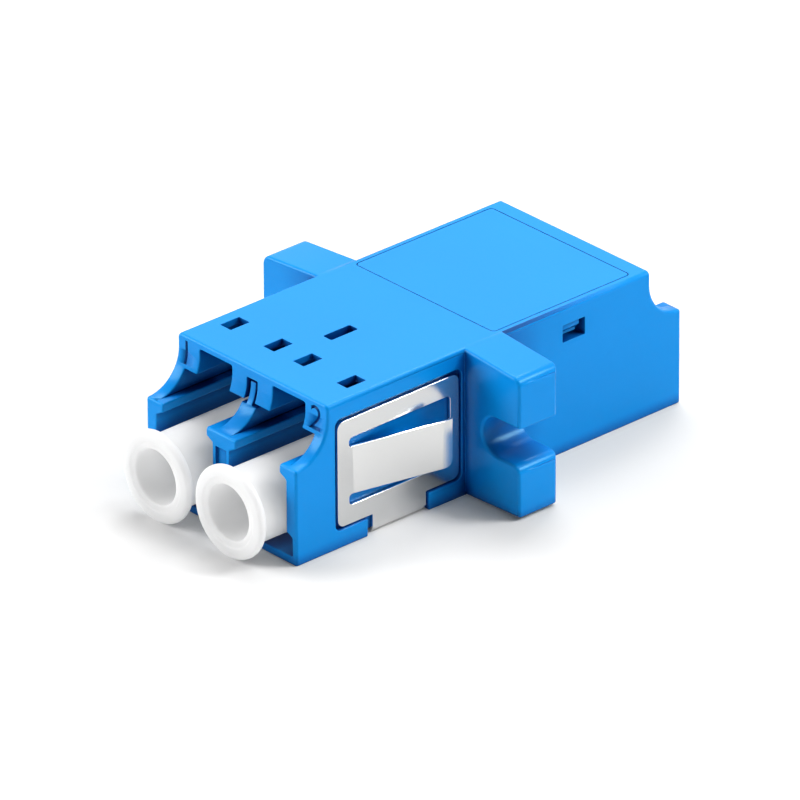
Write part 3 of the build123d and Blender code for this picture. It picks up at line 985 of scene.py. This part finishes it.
@dataclass(frozen=True)
class Lamp:
    """A soft square lamp that looks at the origin from a compass direction.

    Attributes:
        name: Where it hangs.
        azimuth: Its direction in degrees, from straight in front of the ports round to the right.
        elevation: Its height above the floor, in degrees.
        size: Its edge.
        power: Its power in watts.
        distance: How far it hangs from the origin.
    """

    name: str
    azimuth: float
    elevation: float
    size: float
    power: float
    distance: float = 0.5

    def hang(self) -> None:
        """Adds the lamp to the scene."""
        data = bpy.data.lights.new(self.name, "AREA")
        data.shape = "SQUARE"
        data.size = self.size
        data.energy = self.power
        lamp = link(self.name, data)
        turn, tilt = math.radians(self.azimuth), math.radians(self.elevation)
        back = Vector((math.sin(turn) * math.cos(tilt), -math.cos(turn) * math.cos(tilt), math.sin(tilt)))
        lamp.location = back * self.distance
        lamp.rotation_euler = back.to_track_quat("Z", "Y").to_euler()


LAMPS = (
    Lamp("front left", azimuth=-45.0, elevation=25.0, size=0.28, power=1.8),
    Lamp("right rear", azimuth=138.0, elevation=38.0, size=0.15, power=1.2),
    Lamp("left rear high", azimuth=-135.0, elevation=60.0, size=0.28, power=1.35),
    Lamp("right rear high", azimuth=135.0, elevation=68.0, size=0.25, power=0.8),
)


@dataclass
class Studio:
    """The white floor and room, and the camera at the photograph's viewpoint.

    Attributes:
        floor_reach: How far the floor goes from the origin.
        floor_colour: Its colour.
        floor_glow: The light that it adds to itself, so that it is white away from the object.
        floor_gloss: The share of its colour that shows in reflections of it.
        ambient: The strength of the room's even light.
        focal_pixels: The camera's focal length, in pixels of the picture.
        picture_pixels: The width of the picture.
        sensor: The width of the camera's sensor in millimetres.
        eye: Where the camera is.
        azimuth: The direction to it, from straight in front of the ports round to the right.
        elevation: Its height above the floor, as an angle.
        roll: Its turn about its own line of sight.
    """

    floor_reach: float = 900 * MM
    floor_colour: tuple[float, float, float] = (0.94, 0.94, 0.94)
    floor_glow: float = 0.03
    floor_gloss: float = 0.68
    ambient: float = 0.02
    focal_pixels: float = 12590.97
    picture_pixels: float = 800.0
    sensor: float = 36.0
    eye: tuple[float, float, float] = (478.67 * MM, -434.05 * MM, 337.48 * MM)
    azimuth: float = math.radians(47.746)
    elevation: float = math.radians(27.319)
    roll: float = math.radians(-0.275)

    def floor(self) -> None:
        """Lays the floor, which takes the object's shadow and is white where there is none."""
        reach = self.floor_reach
        mesh = bpy.data.meshes.new("floor")
        corners = [(-reach, -reach, 0), (reach, -reach, 0), (reach, reach, 0), (-reach, reach, 0)]
        mesh.from_pydata(corners, [], [(0, 1, 2, 3)])
        material = bpy.data.materials.new("White floor")
        tree = emptied(material)
        glossy_ray = tree.add("ShaderNodeLightPath").outputs["Is Glossy Ray"]
        dimmed = [share * self.floor_gloss for share in self.floor_colour]
        colour = tree.mixed(glossy_ray, (*self.floor_colour, 1.0), (*dimmed, 1.0))
        paper = tree.add("ShaderNodeBsdfDiffuse", {"Color": colour})
        glow = tree.add("ShaderNodeEmission", {"Color": WHITE, "Strength": self.floor_glow})
        both = tree.add("ShaderNodeAddShader", {0: paper.outputs[0], 1: glow.outputs[0]})
        tree.add("ShaderNodeOutputMaterial", {"Surface": both.outputs[0]})
        mesh.materials.append(material)
        link("floor", mesh)

    def world(self) -> None:
        """Fills the room with even light, and shows white to the camera and in reflections."""
        world = bpy.data.worlds.new("White room")
        bpy.context.scene.world = world
        tree = emptied(world)
        path = tree.add("ShaderNodeLightPath").outputs
        seen = tree.maths("MAXIMUM", path["Is Camera Ray"], path["Is Glossy Ray"])
        seen = tree.maths("MAXIMUM", seen, path["Is Transmission Ray"])
        room = tree.add("ShaderNodeBackground", {"Color": WHITE, "Strength": self.ambient})
        backdrop = tree.add("ShaderNodeBackground", {"Color": WHITE, "Strength": 1.0})
        mix = tree.add("ShaderNodeMixShader", {0: seen, 1: room.outputs[0], 2: backdrop.outputs[0]})
        tree.add("ShaderNodeOutputWorld", {"Surface": mix.outputs[0]})

    def camera(self) -> None:
        """Sets the camera where the photograph was taken from."""
        data = bpy.data.cameras.new("camera")
        data.sensor_width = self.sensor
        data.lens = self.focal_pixels / self.picture_pixels * self.sensor
        camera = link("camera", data)
        turn = Matrix.Rotation(self.azimuth, 4, "Z") @ Matrix.Rotation(math.pi / 2 - self.elevation, 4, "X")
        camera.matrix_world = Matrix.Translation(self.eye) @ turn @ Matrix.Rotation(self.roll, 4, "Z")
        bpy.context.scene.camera = camera

    def build(self, lamps: Iterable[Lamp]) -> None:
        """Builds the whole studio.

        Args:
            lamps: The lamps to hang.
        """
        self.camera()
        self.floor()
        self.world()
        for lamp in lamps:
            lamp.hang()
        bpy.context.scene.view_settings.view_transform = "Standard"


@dataclass
class Adapter:
    """The whole object: its moulded parts, its clip, its sleeves and its dust plugs."""

    lid: Softening = Softening(0.025 * MM)
    holder: Softening = Softening(0.05 * MM)
    stamped: Softening = Softening(0.035 * MM)
    ground: Softening = Softening(0.03 * MM)
    left_droop: float = math.radians(0.2)
    right_droop: float = math.radians(-0.3)

    def parts(self) -> list[Dressed | DustPlug]:
        """Lists the parts in the order that they are built.

        Returns:
            The housing first, then what it carries.
        """
        parts: list[Dressed | DustPlug] = [Housing()]
        parts.append(Dressed("rear_cover", Body.ADAPTER, Slot.BLUE, self.lid))
        for end in ("front", "rear"):
            parts.append(Dressed(f"sleeve_holder_{end}", Body.ADAPTER, Slot.BLUE, self.holder))
        for side in Side:
            parts.append(Dressed(f"split_sleeve_{side.word}", Body.ADAPTER, Slot.CERAMIC, self.ground))
        parts.append(Dressed("panel_clip", Body.ADAPTER, Slot.STEEL, self.stamped))
        parts.append(DustPlug(Side.LEFT, Body.LEFT_PLUG, self.left_droop))
        parts.append(DustPlug(Side.RIGHT, Body.RIGHT_PLUG, self.right_droop))
        return parts


def main() -> None:
    """Builds the studio, then every part in order, and reports each piece."""
    logging.basicConfig(level=logging.INFO, format="%(message)s")
    Studio().build(LAMPS)
    effects = Effects()
    materials = {slot: finish.build(effects) for slot, finish in FINISHES.items()}
    for part in Adapter().parts():
        piece = part.make(materials)
        LOG.info("%s: %d faces on %s", piece.name, len(piece.data.polygons), part.body.value)


if __name__ == "__main__":
    main()
